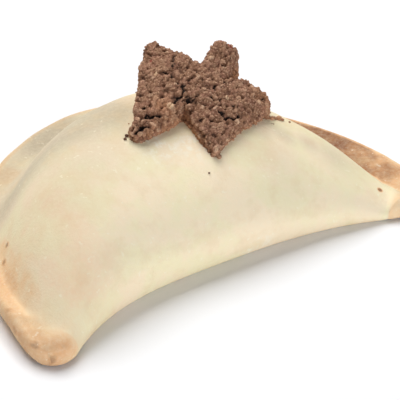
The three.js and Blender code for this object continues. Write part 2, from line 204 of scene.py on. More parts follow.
WARM_SPOTS = (  # lighter, more orange crumb: place from the star's middle, reach, strength
    (-9.5, -2.2, 2.6, 0.8),
    (18.5, -4.0, 3.4, 0.8),
    (-15.0, -6.5, 2.5, 0.6),
)
WARM_BELOW = (1.5, 4.0)  # and so is the crumb this far below the face
FRUIT_SPOTS = ((14.6, 10.4, 0.8), (15.6, 8.6, 0.6), (-3.4, 13.0, 0.5))
NUT_SPOTS = ((-8.0, -2.8, 0.8), (3.4, 3.1, 0.35), (-6.0, 7.0, 0.5), (6.5, -4.0, 0.4))
BIT_EDGE = (0.3, 0.5)

CRUMBS = (  # loose crumbs on the crust: place on the plan, size across, and how pale they are
    (28.6, 20.7, 1.3, 0.9),
    (29.6, 20.9, 1.0, 0.5),
    (30.7, 20.9, 1.5, 1.0),
    (31.7, 20.6, 0.9, 0.7),
    (33.5, 20.2, 0.6, 0.4),
    (3.8, 9.1, 0.55, 0.0),
    (-8.4, 24.2, 1.0, 0.0),
    (-9.3, 23.4, 0.8, 0.0),
    (-7.4, 22.8, 0.7, 0.1),
)
STRAYS = 9  # smaller ones, strewn round the lump
STRAY_SEED = 733
STRAY_INSET = -0.5
STRAY_SPREAD = 1.6
STRAY_SIZE = (0.25, 0.5)
CRUMB_BREADTH = (0.7, 1.0)  # least and most, in lengths of the crumb
CRUMB_HEIGHT = (0.6, 0.8)
CRUMB_ROUGH = 0.35
CRUMB_LIFT = 0.2  # height of its middle over the crust, in lengths of the crumb
CRUMB_DARK = 0.6  # how dark the darkest ones are, as the depth of a pit
DROP_FROM = 80.0  # height from which the crumbs are let down on the crust

# ---------------------------------------------------------------- marks of baking, painted shade and painted light

# Pairs give where a mark sets in and where it is full. Along the pastry they count from the
# middle, 1 being the horn on the mark's own side, and in a cross-section they are places.
RIGHT_HALF = (-0.1, 0.25)
FLAP_BEGINS = (1.96, 2.1)
FLAP_ENDS = (2.86, 2.97)
FLAP_END_PALER = 0.6
FLAP_WANDER = (0.06, 0.04)  # how far its two edges wander, and over what length
FLAP_WANDER_SIZE = 3.0
FLAP_TOAST = 0.5  # toast of the right flap at the back
FLAP_DARKER = 0.42  # more of it in the middle of the right half
FLAP_DARKENS = (0.3, 0.65)
FLAP_PALER = 0.28  # less of it towards the horn
FLAP_PALES = (0.62, 0.95)
FLAP_UNEVEN = 0.22
FLAP_UNEVEN_SIZE = 6.0
FAR_LEFT = (0.45, 0.8)
RIND_UNEVEN = 0.5
RIND_UNEVEN_SIZE = 5.0
RIND_FROM = (2.6, 0.9)  # at the middle and at the far left, as in the next two
RIND_SPREAD = (0.4, 1.5)
RIND_TOAST = (0.3, 0.4)
LEFT_HORN = (0.78, 1.1)
LEFT_HORN_BACK = (0.8, 2.4)
LEFT_HORN_TOAST = (0.35, 0.65)  # in front, and how much is added at the back
LEFT_HORN_MOST = 0.5
LEFT_TIP = (1.0, 1.1)
LEFT_TIP_TOAST = 0.45
RIGHT_TIP = (0.87, 1.0)
RIGHT_TIP_TOAST = 0.22
INSIDE_TOAST = 0.5

SPOTS = (  # browned spots: place on the plan, height, reach and strength
    (-27.0, 50.5, 6.9, 4.5, 0.28),
    (-41.0, 20.9, 10.3, 0.8, 1.0),
    (-43.2, 18.4, 8.1, 1.0, 0.7),
    (-49.6, 3.8, 7.3, 1.2, 0.6),
    (-50.5, -0.3, 5.1, 1.3, 0.65),
    (-49.0, -6.8, 4.9, 1.4, 0.7),
    (-47.0, -9.3, 1.9, 1.6, 0.75),
    (46.2, 0.4, 5.4, 0.7, 1.0),
)
BLUSHES = (  # rosy dough: place on the plan, reach and strength
    (-34.0, 13.0, 9.0, 0.7),
    (-37.0, -4.0, 8.0, 0.75),
    (33.5, 12.6, 1.2, 0.3),
)
SHADES = (  # painted shade on the dough right of the lump: place on the plan, reach and strength
    (21.0, 10.5, 8.0, 0.28),
    (22.5, 15.2, 3.4, 0.42),
    (28.0, 14.4, 3.6, 0.45),
    (33.5, 12.2, 3.6, 0.4),
    (38.5, 9.0, 5.0, 0.35),
)
# Flour on the crust; the patches in front of the lump also serve as painted light that lifts its
# shadow.
FLOUR_AND_LIGHT = (  # place on the plan, height and reach
    (4.5, 17.5, 23.8, 5.0),
    (-3.0, 18.5, 24.5, 5.0),
    (9.4, 0.5, 2.4, 2.2),
    (12.7, 0.4, 2.4, 2.6),
)

# Painted shade that greys the dough on the upper left: strengths, and where each sets in and is
# full.
SHADE_WEST = (-6, 12)  # on the plan, from left to right
SHADE_LESS_FAR_LEFT = 0.7
SHADE_BEHIND = (0.37, (0.6, 0.95))  # places in a cross-section
SHADE_FARTHER = (0.45, (24, 34))  # on the plan, from front to back
SHADE_RIM = (0.1, (1.5, 1.9), (20, 34))  # both
SHADE_LESS_ON_RIND = 0.4
SHADE_LESS_IN_CORNER = 0.35
CORNER_LEFT = (14, 22)
CORNER_BEHIND = (36, 44)

# ---------------------------------------------------------------- view, light and floor

PICTURE = 400  # pixels across
SENSOR = 36.0
VIEW_AZIMUTH = math.radians(-32.056)
VIEW_ELEVATION = math.radians(34.715)
VIEW_DISTANCE = 357.59
VIEW_FOCUS = 1574.8  # focal length in pixels
VIEW_MIDDLE = (185.4, 212.2)  # pixel that the lens points at
VIEW_NEAREST = 0.01
AIM = np.array((0.0, 12.96, 8.64))  # on the plan

WHITE = (1.0, 1.0, 1.0)
LIGHTS = (  # azimuth and elevation in degrees, distance and size in metres, power and tint
    ("window", 176, 58, 1.6, 1.1, 31, WHITE),
    ("front fill", 4, 6, 1.6, 1.0, 20, (0.87, 0.92, 1.0)),
    ("left fill", -40, 14, 1.6, 0.8, 2.8, WHITE),
)
STUDIO_GLOW = 0.08
FLOOR_WHITE = (0.955, 0.955, 0.965, 1)
FLOOR_HALF = 2.0
FLOOR_DROP = 0.00005


def mix(a, b, k):
    return a + (b - a) * k


def ease(k):
    return math.sin(min(k, 1.0) * math.pi / 2) ** 2


def make_draw(seed):
    """Seeded draws from 0 to 1, by the minimal standard generator."""
    state = [seed]

    def draw():
        state[0] = state[0] * 16807 % 2147483647
        return state[0] / 2147483647

    return draw


def ripple(x, y):
    """Slow swell and dip of a hand-made surface, from three crossing waves."""
    wave = np.sin(x * 0.21 + y * 0.13) + np.sin(y * 0.27 - x * 0.11 + 1.7)
    return (wave + 0.7 * np.sin((x + y) * 0.39 + 0.6)) / 2.7


# ---------------------------------------------------------------- plan and cross-sections


def fold_point(t):
    side = 0 if t < 0 else 1
    u = mix(math.sin(abs(t) * math.pi / 2), abs(t), FOLD_EVEN[side])
    x = math.copysign(1, t) * FOLD_REACH[side] * u
    return np.array((x, -FOLD_SWEEP[side] * u ** FOLD_POWER[side]))


def rim_point(t):
    angle = math.radians(90 - 90 * t)
    return np.array(RIM_MIDDLE) + np.array(RIM_HALF) * (math.cos(angle), math.sin(angle))


def station(t):
    """Everything that a cross-section from the fold to the rim needs."""
    side = 0 if t < 0 else 1
    a = abs(t)

    def towards(triple, k):
        return mix(triple[1], triple[2 * side], k)

    fall = (1 - min(a / BELLY_END[side], 1) ** BELLY_POWER[side]) ** BELLY_FALL[side]
    lift = ease(max(a - HORN_LIFT_FROM, 0) / (1 - HORN_LIFT_FROM))
    return dict(
        t=t,
        fold=fold_point(t),
        rim=rim_point(t),
        height=mix(BELLY_HORN[side], CROWN_HEIGHT, fall),
        crest=towards(CREST, ease(a / CREST_SPREAD[side])),
        rim_top=towards(RIM_TOP, ease(a / RIM_BLEND_TOP)),
        rim_width=towards(RIM_WIDTH, ease(a / RIM_BLEND_WIDTH)),
        rim_thickness=towards(RIM_THICKNESS, ease(a / RIM_BLEND_WIDTH)),
        rim_most=RIM_WIDTH_MOST[side],
        round=towards(RIM_EDGE_ROUND, ease(a / RIM_BLEND_WIDTH)),
        rim_top_most=RIM_TOP_MOST[side],
        fullness=towards(BACK_FULLNESS, ease(a / BACK_BLEND)),
        softness=towards(BACK_SOFTNESS, ease(a / BACK_BLEND)),
        lift=HORN_LIFT[side] * lift,
    )


def direction(degrees):
    return np.array((math.cos(math.radians(degrees)), math.sin(math.radians(degrees))))


def cross(a, b):
    return a[0] * b[1] - a[1] * b[0]


def unit(v):
    return v / np.linalg.norm(v)


def tip_stations(end):
    """Cross-sections that round a horn's tip, from its last full section outwards."""
    last = station(end)
    inner = station(end * TIP_BEFORE)
    fold_way = unit(last["fold"] - inner["fold"])
    rim_way = unit(last["rim"] - inner["rim"])
    ahead = cross(last["rim"] - last["fold"], rim_way) / cross(fold_way, rim_way)
    corner = last["fold"] + ahead * fold_way

    def on_curve(k):
        weights = ((1 - k) ** 2, 2 * TIP_FULLNESS * k * (1 - k), k**2)
        spots = (last["fold"], corner, last["rim"])
        return sum(w * p for w, p in zip(weights, spots)) / sum(weights)

    sections = []
    for i in range(1, TIP_STEPS + 1):
        spread = max(math.cos(i / TIP_STEPS * math.pi / 2), TIP_LEAST)
        sections.append(dict(
            last,
            t=end * (1 + TIP_SPACING * i),
            fold=on_curve(0.5 - spread / 2),
            rim=on_curve(0.5 + spread / 2),
            height=last["height"] * mix(TIP_HEIGHT, 1, spread**TIP_FALL),
        ))
    return sections


def sizes(s):
    """Sizes of a cross-section, in millimetres from the fold's foremost line."""
    depth = np.linalg.norm(s["rim"] - s["fold"])
    crease = depth - min(s["rim_width"], s["rim_most"] * depth)
    rim_top = min(s["rim_top"], s["rim_top_most"] * s["height"])
    return dict(
        depth=depth,
        crease=crease,
        rim_top=rim_top,
        crest=min(s["crest"] * depth, CREST_MOST * crease),
        height=s["height"],
        fullness=s["fullness"],
        softness=s["softness"],
        foremost=FOREMOST * s["height"],
        rim_under=max(0, rim_top - s["rim_thickness"]),
        base_back=max(UNDERSIDE_LEAST * crease, crease - UNDERSIDE_EASE),
        round=min(s["round"], RIM_EDGE_MOST * depth),
    )


def back_height(z, k):
    """Height of the belly at k, from 0 at its crest to 1 at the rim's crease."""
    power = mix(z["fullness"], 1, z["softness"] * k**3)
    return mix(z["rim_top"], z["height"], ((1 + math.cos(k * math.pi)) / 2) ** power)


def outer_loop(s, grow=0.0):
    """Outline of the pastry's section as rows of [from fold, height, place in the section].

    The place runs from 0 at the foot of the fold over 1 at the crest and 2 at the rim's
    crease to 3 at the rim's edge, and from there under the pastry to 4."""
    z = sizes(s)
    loop = []
    for i in range(LOW_STEPS + 1):
        k = i / LOW_STEPS * math.pi / 2
        loop.append((
            FRONT_TUCK * z["depth"] * (1 - math.sin(k)) - grow * math.sin(k),
            z["foremost"] * (1 - math.cos(k)) - grow * math.cos(k),
            FOREMOST_PLACE * i / LOW_STEPS,
        ))
    for i in range(1, FRONT_STEPS + 1):
        k = i / FRONT_STEPS * math.pi / 2
        loop.append((
            mix(z["crest"], -grow, math.cos(k)),
            mix(z["foremost"], z["height"] + grow, math.sin(k)),
            mix(FOREMOST_PLACE, 1, i / FRONT_STEPS),
        ))
    for i in range(1, BACK_STEPS + 1):
        k = i / BACK_STEPS
        loop.append((mix(z["crest"], z["crease"] + grow, k), back_height(z, k) + grow, 1 + k))
    upper = z["rim_top"] + grow
    lower = z["rim_under"] - grow
    edge = z["depth"] + grow
    radius = min(z["round"], (upper - lower) / EDGE_ROUND_MOST)
    for i in range(1, RIM_STEPS + 1):
        k = i / RIM_STEPS
        loop.append((mix(z["crease"] + grow, edge - radius, k), upper, 2 + RIM_TOP_PLACES * k))
    for i in range(1, EDGE_STEPS + 1):
        k = i / EDGE_STEPS * math.pi / 2
        loop.append((edge - radius * (1 - math.sin(k)), upper - radius * (1 - math.cos(k)), 3))
    for i in range(EDGE_STEPS + 1):
        k = i / EDGE_STEPS * math.pi / 2
        out, up = edge - radius * (1 - math.cos(k)), lower + radius * (1 - math.sin(k))
        loop.append((out, up, UNDER_RIM_PLACE))
    for i in range(UNDER_STEPS + 1):
        k = 1 - i / UNDER_STEPS
        loop.append((mix(z["base_back"], z["crease"], k), z["rim_under"] * ease(k) - grow, 4 - k))
    return np.array(loop)


def hollow_loop(s, inset):
    """Outline of the hollow inside the crust, drawn in by an inset."""
    z = sizes(s)
    wall = CRUST + inset
    thinnest = CRUST + HOLLOW_LEAST - inset
    low = max(z["foremost"], CRUST + HOLLOW_LOW)
    loop = [(wall + HOLLOW_CORNER, wall, 4), (wall + HOLLOW_SIDE, mix(wall, low, 0.5), 0)]
    for i in range(HOLLOW_TOP_STEPS + 1):
        k = i / HOLLOW_TOP_STEPS * math.pi / 2
        loop.append((
            mix(z["crest"], wall, math.cos(k)),
            mix(low, z["height"] - wall, math.sin(k)),
            1,
        ))
    back = max(z["base_back"], z["crest"] + HOLLOW_BEHIND_CREST)
    end = min(back, z["crease"] - CRUST) - inset
    reach = z["crease"] - z["crest"]
    for i in range(1, HOLLOW_BACK_STEPS + 1):
        far = mix(z["crest"], end, i / HOLLOW_BACK_STEPS)
        k = (far - z["crest"]) / reach
        fall = back_height(z, k - SLOPE_SPAN) - back_height(z, min(k + SLOPE_SPAN, 1))
        slope = fall / (2 * SLOPE_SPAN * reach)
        loop.append((far, max(back_height(z, k) - wall * math.hypot(1, slope), thinnest), 2))
    loop.append((end, wall, 4))
    return np.array(loop)


def place_loop(s, loop):
    """Places a section's outline in space: rows of x, y, z."""
    along = unit(s["rim"] - s["fold"])
    spots = s["fold"] + loop[:, :1] * along
    up = loop[:, 1]
    swell = RIPPLE * ripple(spots[:, 0], spots[:, 1]) * np.minimum(1, up / RIPPLE_FULL)
    height = up + np.where(up > RIPPLE_FROM, swell, 0) + s["lift"]
    return np.column_stack((spots, height))


# ---------------------------------------------------------------- meshes


def keep(mesh, label, values):
    """Keeps a value on each point of a mesh, for its paint to read."""
    if label in mesh.attributes:
        mesh.attributes.remove(mesh.attributes[label])
    layer = mesh.attributes.new(label, "FLOAT", "POINT")
    layer.data.foreach_set("value", np.asarray(values, dtype=np.float32))


def kept(mesh, label):
    values = np.empty(len(mesh.vertices), dtype=np.float32)
    mesh.attributes[label].data.foreach_get("value", values)
    return values.astype(float)


def new_object(name, points, faces, marks=()):
    """Object from points in millimetres on the plan, with named values kept on its points."""
    mesh = bpy.data.meshes.new(name)
    mesh.from_pydata(points.tolist(), [], faces)
    for label, values in marks:
        keep(mesh, label, values)
    piece = bpy.data.objects.new(name, mesh)
    bpy.context.collection.objects.link(piece)
    return piece


def loft_faces(rows, count):
    """Quads through rows of loops, and a fan of triangles on a middle point at each end."""
    faces = []
    for i in range(rows - 1):
        for j in range(count):
            k = (j + 1) % count
            faces.append((i * count + j, (i + 1) * count + j, (i + 1) * count + k, i * count + k))
    first, last = rows * count, rows * count + 1
    for j in range(count):
        k = (j + 1) % count
        faces.append((j, k, first))
        faces.append(((rows - 1) * count + k, (rows - 1) * count + j, last))
    return faces


def loft(name, loops, marks=()):
    """Closed surface through a row of loops of the same length."""
    ends = np.array([loops[0].mean(axis=0), loops[-1].mean(axis=0)])
    points = np.concatenate(loops + [ends])
    whole = []
    for label, rows in marks:
        whole.append((label, np.concatenate(rows + [[rows[0].mean(), rows[-1].mean()]])))
    return new_object(name, points, loft_faces(len(loops), len(loops[0])), whole)


def finished_mesh(piece):
    """Applies a piece's modifiers and drops them."""
    bpy.context.view_layer.update()
    graph = bpy.context.evaluated_depsgraph_get()
    mesh = bpy.data.meshes.new_from_object(piece.evaluated_get(graph))
    piece.modifiers.clear()
    old = piece.data
    piece.data = mesh
    bpy.data.meshes.remove(old)
    mesh.name = piece.name
    return piece


def combine(piece, other, operation):
    """Joins a piece with another one, or cuts it by it; the other one is used up."""
    change = piece.modifiers.new("combine", "BOOLEAN")
    change.operation = operation
    change.solver = "MANIFOLD"
    change.object = other
    finished_mesh(piece)
    bpy.data.objects.remove(other)
    return piece


def smooth(piece):
    piece.data.polygons.foreach_set("use_smooth", [True] * len(piece.data.polygons))
    return piece


def coordinates(mesh):
    points = np.empty(len(mesh.vertices) * 3, dtype=np.float32)
    mesh.vertices.foreach_get("co", points)
    return points.reshape(-1, 3).astype(float)


def normals(mesh):
    ways = np.empty(len(mesh.vertices) * 3, dtype=np.float32)
    mesh.vertices.foreach_get("normal", ways)
    return ways.reshape(-1, 3).astype(float)


def move_points(mesh, points):
    mesh.vertices.foreach_set("co", points.astype(np.float32).ravel())
    mesh.update()


def rough(points, size, octaves=3, offset=0.0):
    """Noise from about -1 to 1 at each point, in swells of a size."""
    spots = (points / size + offset).tolist()
    return np.array([noise.fractal(p, 1.0, 2.0, octaves) for p in spots])


def soft_step(values, low, high):
    """0 below low, 1 above high, and a soft step in between."""
    k = np.clip((values - low) / (high - low), 0, 1)
    return k * k * (3 - 2 * k)


def patch(points, x, y, reach):
    """1 at a place on the plan, falling to 0 round it."""
    away = np.hypot(points[:, 0] - x, points[:, 1] - y) / reach
    return np.exp(-away * away)


# ---------------------------------------------------------------- dough

all_stations = (
    tip_stations(-1)[::-1]
    + [station(-1 + 2 * i / STATIONS) for i in range(STATIONS + 1)]
    + tip_stations(1)
)


def pastry(name, grow=0.0):
    """The whole turnover without its hollow, grown by a clearance."""
    outlines = [outer_loop(s, grow) for s in all_stations]
    loops = [place_loop(s, outline) for s, outline in zip(all_stations, outlines)]
    along = [np.full(len(loop), s["t"]) for s, loop in zip(all_stations, loops)]
    place = [outline[:, 2] for outline in outlines]
    return loft(name, loops, (("along", along), ("place", place)))


def hollow(name, inset):
    """The hollow inside the crust, drawn in all round by an inset."""
    loops = []
    for i in range(BELLY_STATIONS + 1):
        s = station(mix(*HOLLOW_REACH, i / BELLY_STATIONS))
        loops.append(place_loop(s, hollow_loop(s, inset)))
    for end, beside in ((0, 1), (BELLY_STATIONS, BELLY_STATIONS - 1)):
        apart = np.linalg.norm(loops[beside][0] - loops[end][0])
        loops[end] = mix(loops[end], loops[beside], END_SHORT * inset / apart)
    return loft(name, loops)


# ---------------------------------------------------------------- star


def star_corners(inset):
    """Star outline, counter-clockwise, drawn in from the lump's own edge by an inset."""
    corners = []
    for angle, reach, half, tip, (notch_angle, notch) in STAR_ARMS:
        way = direction(angle)
        side = np.array((-way[1], way[0]))
        for back, out in ((ARM_TAPER, -1), (0, tip[0]), (0, tip[1]), (ARM_TAPER, 1)):
            corners.append(way * (reach - back * half) + side * out * half)
        corners.append(notch * direction(notch_angle))
    inwards = []
    for corner, following in zip(corners, corners[1:] + corners[:1]):
        along = unit(following - corner)
        inwards.append(np.array((-along[1], along[0])))
    outline = []
    for corner, a, b in zip(corners, inwards[-1:] + inwards[:-1], inwards):
        outline.append(corner + (a + b) * inset / (1 + a @ b) + STAR_CENTRE)
    return outline


def face_height(x, y):
    """Height of the lump's face."""
    dx = x - STAR_CENTRE[0]
    dy = y - STAR_CENTRE[1]
    angle, reach = STAR_ARMS[PEAK_ARM][:2]
    peak_x, peak_y = reach * PEAK_AT * direction(angle)
    away = np.hypot(dx - peak_x, dy - peak_y) / PEAK_SPREAD
    lean = FACE_HEIGHT + FACE_LEAN[0] * dx + FACE_LEAN[1] * dy
    crown = FACE_CROWN[0] * dx * dx + FACE_CROWN[1] * dy * dy
    return lean - crown + PEAK_RISE * np.exp(-away * away)


def star_prism(name, inset, heights):
    """Upright star prism; heights are numbers, or functions of the place in plan."""
    outline = star_corners(inset)
    points = []
    for height in heights:
        for x, y in outline:
            points.append((x, y, height(x, y) if callable(height) else height))
    count = len(outline)
    faces = [tuple(range(count))[::-1], tuple(range(count, 2 * count))]
    for j in range(count):
        k = (j + 1) % count
        faces.append((j, k, count + k, count + j))
    return new_object(name, np.array(points), faces)


def face_block():
    """Block under the lump's uneven face."""
    steps = round(2 * FACE_REACH / FACE_STEP)
    loops = []
    for i in range(steps + 1):
        x = STAR_CENTRE[0] + FACE_REACH * mix(-1, 1, i / steps)
        y = STAR_CENTRE[1] + FACE_REACH * np.linspace(-1, 1, steps + 1)
        top = np.column_stack((np.full(steps + 1, x), y, face_height(x, y)))
        top[:, 2] += FACE_SWELL * rough(top, FACE_SWELL_SIZE)
        for x_off, y_off, reach, rise in FACE_BUMPS:
            top[:, 2] += rise * patch(top, STAR_CENTRE[0] + x_off, STAR_CENTRE[1] + y_off, reach)
        foot = np.array([(x, y[-1], CUT_HEIGHTS[0]), (x, y[0], CUT_HEIGHTS[0])])
        loops.append(np.concatenate((foot, top)))
    return loft("face", loops)


def distance_to_line(points, start, end):
    start = np.array(start) + STAR_CENTRE
    end = np.array(end) + STAR_CENTRE
    along = end - start
    k = np.clip((points[:, :2] - start) @ along / (along @ along), 0, 1)
    return np.linalg.norm(points[:, :2] - start - k[:, None] * along, axis=1)


def crack_depth(points):
    """How far the crevices and holes sink below the face."""
    moved = points.copy()
    for axis, offset in ((0, 0.0), (1, 7.0)):
        moved[:, axis] += CRACK_WANDER * rough(points, CRACK_WANDER_SIZE, 3, offset)
    deepest = np.zeros(len(points))
    holes = [(((x, y), (x + HOLE_LENGTH, y)), width, depth) for x, y, width, depth in HOLES]
    for line, width, depth in (*CREVICES, *holes):
        for start, end in zip(line, line[1:]):
            away = distance_to_line(moved, start, end) / width
            deepest = np.maximum(deepest, depth * np.exp(-away * away))
    return deepest * (CRACK_SHALLOW + CRACK_UNEVEN * rough(points, CRACK_UNEVEN_SIZE, 2, 3.0))


def grains(points, size, gap, shift):
    """How far inside its grain each point lies, 0 in the gaps to 1, and a draw for each grain."""
    inside, draws = [], []
    for spot in (points / size + shift).tolist():
        reaches, centres = noise.voronoi(spot)
        inside.append(reaches[1] - reaches[0])
        draws.append(0.5 + 0.5 * noise.cell(centres[0] * GRAIN_SCATTER))  # cell: -1 to 1
    return soft_step(np.array(inside), 0, gap), np.array(draws)


def crumble(lump):
    """Turns the smooth lump into crumb: grains of three sizes, dropped ones and crevices."""
    points = coordinates(lump.data)
    ways = normals(lump.data)
    pit = crack_depth(points) * soft_step(ways[:, 2], *FACING_UP)
    lift = np.full(len(points), GRAIN_LIFT)
    for i, (size, depth, unevenness, gap) in enumerate(GRAIN_LAYERS):
        inside, draws = grains(points, size, gap, LAYER_SHIFT * i)
        pit += depth * (1 - inside)
        lift += unevenness * (draws - 0.5)
        if i == MIDDLING:
            share, drop = MISSING
            pit += drop * (draws < share) * inside
            keep(lump.data, "grain", draws)
    keep(lump.data, "pit", pit)
    move_points(lump.data, points + ways * (lift - pit)[:, None])


def make_lump():
    """The rough lump on the crown."""
    lump = combine(face_block(), star_prism("star", CORE_INSET, CUT_HEIGHTS), "INTERSECT")
    fuse = lump.modifiers.new("even mesh", "REMESH")
    fuse.mode = "VOXEL"
    fuse.voxel_size = VOXEL
    soften = lump.modifiers.new("soft edges", "SMOOTH")
    soften.iterations = SOFT_EDGE
    finished_mesh(lump)
    crumble(lump)
    return lump


def neck_top(x, y):
    return face_height(x, y) - NECK_DEPTH


def make_filling():
    """Filling: the paste in the hollow, the neck through the cut and the lump above it."""
    lump = combine(make_lump(), pastry("sunk dough", -SEAT), "DIFFERENCE")
    neck = star_prism("neck", STAR_INSET + GAP, (CUT_HEIGHTS[0], neck_top))
    filling = combine(hollow("filling_paste", GAP), neck, "UNION")
    filling = combine(filling, lump, "UNION")
    return filling


def make_dough():
    """Crust: the turnover less its hollow and the star cut."""
    crust = pastry("dough_crust")
    combine(crust, hollow("hollow", 0), "DIFFERENCE")
    combine(crust, star_prism("cut", STAR_INSET, CUT_HEIGHTS), "DIFFERENCE")
    return crust


# ---------------------------------------------------------------- paints


def colour(red, green, blue):
    """Display colour from 0 to 255, as the light that a paint gives back."""
    shares = []
    for part in (red, green, blue):
        part /= 255
        shares.append(part / 12.92 if part <= 0.04045 else ((part + 0.055) / 1.055) ** 2.4)
    return (*shares, 1.0)


class Tone:
    """A value or colour in a paint; arithmetic on it adds Math nodes."""

    def __init__(self, paint, socket):
        self.paint = paint
        self.socket = socket

    def math(self, operation, *others):
        sockets = dict(enumerate((self, *others)))
        return self.paint.node("ShaderNodeMath", {"operation": operation}, sockets)

    def __add__(self, other):
        return self.math("ADD", other)

    def __sub__(self, other):
        return self.math("SUBTRACT", other)

    def __mul__(self, other):
        return self.math("MULTIPLY", other)

    def __rsub__(self, other):
        return self.paint.node("ShaderNodeMath", {"operation": "SUBTRACT"}, {0: other, 1: self})

    __radd__ = __add__
    __rmul__ = __mul__

    def between(self, low, high):
        """0 below low, 1 above high, and a soft step in between."""
        return self.paint.node(
            "ShaderNodeMapRange",
            {"interpolation_type": "SMOOTHSTEP"},
            {"Value": self, "From Min": low, "From Max": high},
        )


class Paint:
    """A material in the making, in millimetres on the frame's own axes."""

    def __init__(self, name):
        self.material = bpy.data.materials.new(name)
        self.material.use_nodes = True
        self.tree = self.material.node_tree
        self.tree.nodes.clear()
        here = self.node("ShaderNodeTexCoord", out="Object")
        self.place = self.node(
            "ShaderNodeVectorMath", {"operation": "SCALE"}, {0: here, "Scale": 1 / MM}
        )

    def node(self, kind, settings=None, sockets=None, out=0):
        made = self.tree.nodes.new(kind)
        for key, value in (settings or {}).items():
            if key == "stops":
                ramp = made.color_ramp
                ramp.elements[0].position, ramp.elements[0].color = value[0]
                ramp.elements[1].position, ramp.elements[1].color = value[-1]
                for position, shade in value[1:-1]:
                    ramp.elements.new(position).color = shade
            else:
                setattr(made, key, value)
        for key, value in (sockets or {}).items():
            if isinstance(value, Tone):
                self.tree.links.new(value.socket, made.inputs[key])
            else:
                made.inputs[key].default_value = value
        return Tone(self, made.outputs[out]) if made.outputs else None

    def attribute(self, name):
        return self.node("ShaderNodeAttribute", {"attribute_name": name}, out="Fac")

    def noise(self, size, detail, roughness, shift=0.0):
        """Noise from 0 to 1, in swells of a size in millimetres; a shift sets it apart."""
        place = self.place
        if shift:
            place = self.node("ShaderNodeVectorMath", {}, {0: place, 1: (shift, shift, shift)})
        sockets = {"Vector": place, "Scale": 1 / size, "Detail": detail, "Roughness": roughness}
        return self.node("ShaderNodeTexNoise", {}, sockets, out="Fac")

    def blend(self, share, first, second):
        return self.node(
            "ShaderNodeMix", {"data_type": "RGBA"}, {0: share, 6: first, 7: second}, out=2
        )

    def layers(self, base, *coats):
        """Lays coats, each a share and a colour, over one another."""
        for share, shade in coats:
            base = self.blend(share, base, shade)
        return base

    def ramp(self, value, stops):
        return self.node("ShaderNodeValToRGB", {"stops": stops}, {"Fac": value})

    def bump(self, height, depth):
        """Fine relief, with its depth in millimetres."""
        sockets = {"Height": height, "Distance": depth * MM, "Strength": 1.0}
        return self.node("ShaderNodeBump", {}, sockets)

    def finish(self, base, roughness, normal, **constants):
        sockets = {"Base Color": base, "Roughness": roughness, "Normal": normal, **constants}
        surface = self.node("ShaderNodeBsdfPrincipled", {}, sockets, out="BSDF")
        self.node("ShaderNodeOutputMaterial", {}, {"Surface": surface})
        return self.material


CREAM = colour(245, 232, 192)
WARM_CREAM = colour(250, 230, 197)
DRY_CREAM = colour(244, 234, 208)
ROSY_DOUGH = colour(241, 201, 161)
# painted shade: the colour that greys the dough where light falls off
SHADED_DOUGH = colour(187, 173, 149)
TAN_DOUGH = colour(226, 196, 150)
BLISTER = colour(253, 245, 222)
# flour, and painted light in front of the lump
FLOUR_AND_LIGHT_WHITE = colour(250, 243, 226)
BAKED_DOUGH = (
    (0.0, colour(244, 224, 190)),
    (0.25, colour(243, 206, 160)),
    (0.5, colour(226, 176, 129)),
    (0.75, colour(180, 132, 93)),
    (1.0, colour(140, 92, 62)),
)

GRAIN_BROWNS = (
    (0.0, colour(126, 90, 66)),
    (0.35, colour(153, 113, 86)),
    (0.7, colour(171, 130, 100)),
    (0.92, colour(190, 149, 119)),
    (1.0, colour(226, 188, 154)),
)
DARK_CRUMB = colour(118, 78, 56)
PALE_BIT = colour(226, 182, 148)
ROSY_CRUMB = colour(176, 124, 104)
ORANGE_CRUMB = colour(212, 150, 104)
# painted shade for the crumb's gaps and pits, which also darkens the darker loose crumbs
GAP_SHADE_AND_DARK_CRUMB = colour(104, 66, 46)
PIT_SHADE_AND_DARKEST_CRUMB = colour(36, 22, 15)
FRUIT_RED = colour(150, 62, 52)
NUT_CREAM = colour(232, 196, 158)


def dough_paint():
    """Pale baked dough: cream with rosy clouds, golden to brown where the oven caught it."""
    paint = Paint("baked dough")
    toast = paint.attribute("toast")
    clouds = paint.noise(11.0, 3.0, 0.6)
    mottle = paint.noise(3.4, 4.0, 0.62, shift=31.0)
    fine = paint.noise(0.9, 4.0, 0.65)
    tan = paint.noise(5.0, 4.0, 0.6, shift=47.0).between(0.46, 0.68)
    blisters = paint.noise(1.3, 2.0, 0.5, shift=71.0).between(0.67, 0.72)
    # flour, and in front of the lump painted light against its shadow
    flour = paint.attribute("flour") * paint.noise(2.1, 4.0, 0.7, shift=12.0).between(0.44, 0.62)
    heat = toast + 0.5 * (mottle - 0.5) * toast.between(0.02, 0.35)
    base = paint.layers(
        CREAM,
        (clouds.between(0.38, 0.62), WARM_CREAM),
        (paint.attribute("blush") * clouds.between(0.2, 0.7), ROSY_DOUGH),
        (toast.between(0.0, 0.22), paint.ramp(heat, BAKED_DOUGH)),
        # painted shade, greying the dough on the upper left and beside the lump
        (paint.attribute("dull"), SHADED_DOUGH),
        (flour * 0.7, FLOUR_AND_LIGHT_WHITE),
        (fine.between(0.35, 0.75) * 0.22, DRY_CREAM),
        (tan * 0.22, TAN_DOUGH),
        (blisters * 0.35, BLISTER),
    )
    relief = fine * 0.6 + paint.noise(0.4, 2.0, 0.6, shift=3.0) * 0.4
    normal = paint.bump(relief, 0.17)
    return paint.finish(base, 0.82, normal, **{"Specular IOR Level": 0.2})


